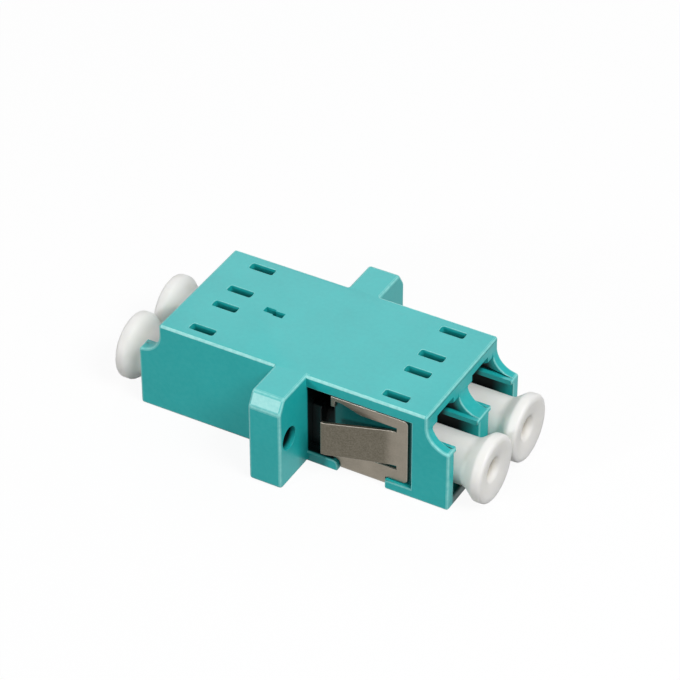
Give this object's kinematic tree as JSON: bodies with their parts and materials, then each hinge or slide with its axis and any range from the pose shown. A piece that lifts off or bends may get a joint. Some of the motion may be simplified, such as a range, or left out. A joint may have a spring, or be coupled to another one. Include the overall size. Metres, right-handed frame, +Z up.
{
  "type": "duplex lc fibre optic adapter",
  "caption": "Duplex fibre optic adapter: a flanged aqua plastic body with a ferrule sleeve on each port's axis, a steel panel clip and white dust plugs in its ports.",
  "frame": {"origin": "under the middle of the flange, on the underside of the body, centred between the ports", "axes": "+X along the ports towards the end beside the clip, +Y across to the far port, +Z up to the side with the latch windows"},
  "size_m": [0.0358, 0.0216, 0.0092],
  "materials": {
    "aqua_moulding": "fine matt moulded plastic, aqua",
    "spring_sheet": "rolled stainless spring sheet, dull",
    "sleeve_ceramic": "ground zirconia, white",
    "plug_moulding": "soft translucent polyethylene, milky white"
  },
  "bodies": {
    "root": {"housing": "aqua_moulding", "sleeve_retainer_near": "aqua_moulding", "sleeve_retainer_far": "aqua_moulding", "panel_clip": "spring_sheet", "sleeve_near": "sleeve_ceramic", "sleeve_far": "sleeve_ceramic"},
    "dust_plug_near_right": {"dust_plug_near_right": "plug_moulding"},
    "dust_plug_near_left": {"dust_plug_near_left": "plug_moulding"},
    "dust_plug_far_right": {"dust_plug_far_right": "plug_moulding"},
    "dust_plug_far_left": {"dust_plug_far_left": "plug_moulding"}
  },
  "joints": [
    {"name": "plug_slide_near_right", "type": "slide", "parent": "root", "child": "dust_plug_near_right", "axis": [1, 0, 0], "range_m": [0, 0.016]},
    {"name": "plug_slide_near_left", "type": "slide", "parent": "root", "child": "dust_plug_near_left", "axis": [-1, 0, 0], "range_m": [0, 0.016]},
    {"name": "plug_slide_far_right", "type": "slide", "parent": "root", "child": "dust_plug_far_right", "axis": [1, 0, 0], "range_m": [0, 0.016]},
    {"name": "plug_slide_far_left", "type": "slide", "parent": "root", "child": "dust_plug_far_left", "axis": [-1, 0, 0], "range_m": [0, 0.016]}
  ]
}
